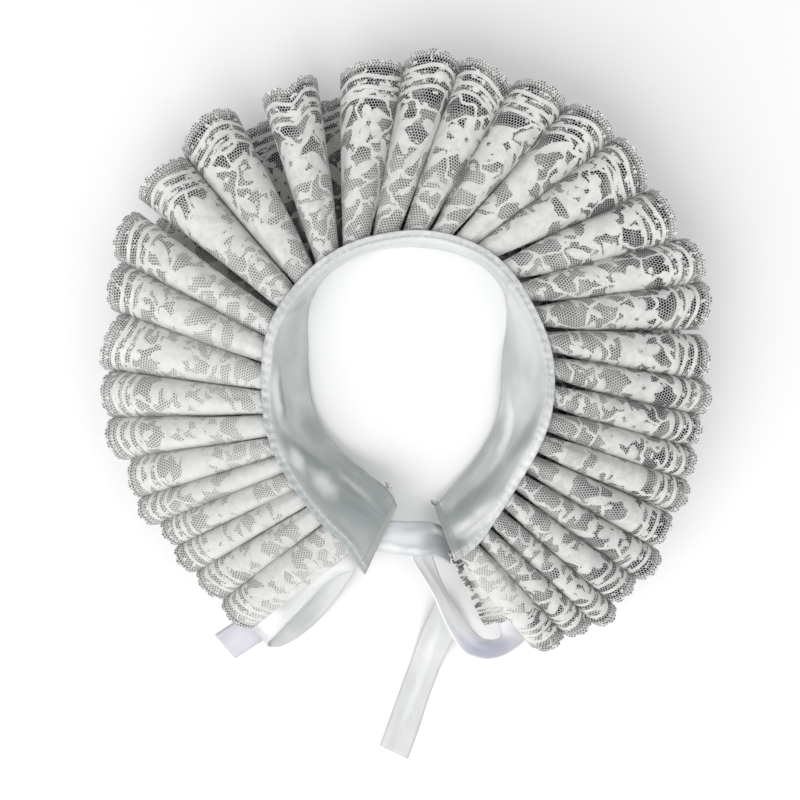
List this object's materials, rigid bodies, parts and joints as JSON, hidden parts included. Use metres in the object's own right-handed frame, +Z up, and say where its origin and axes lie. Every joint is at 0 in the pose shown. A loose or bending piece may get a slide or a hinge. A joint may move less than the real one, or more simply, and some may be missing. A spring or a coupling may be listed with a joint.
{
  "type": "ruff collar",
  "caption": "Pleated white lace ruff collar round an open neck, with a satin ribbon neckband closed at the front by narrow ties in a bow.",
  "frame": {"origin": "centre of the overall box on the surface that the collar lies on", "axes": "+Z up from that surface, -Y towards the front opening and the bow, +X to the picture's right"},
  "size_m": [0.235, 0.2849, 0.0385],
  "materials": {
    "lace": "white floral edging lace on a net ground, slightly stiff, matt with a faint thread sheen",
    "satin": "white satin ribbon, smooth, soft silvery sheen"
  },
  "bodies": {
    "root": {"lace_left_front": "lace", "lace_left_back": "lace", "lace_right_back": "lace", "lace_right_front": "lace", "neckband": "satin", "tie_bridge": "satin", "tie_left_loop": "satin", "tie_left_tail": "satin", "tie_right_loop": "satin", "tie_right_tail": "satin"}
  },
  "joints": []
}
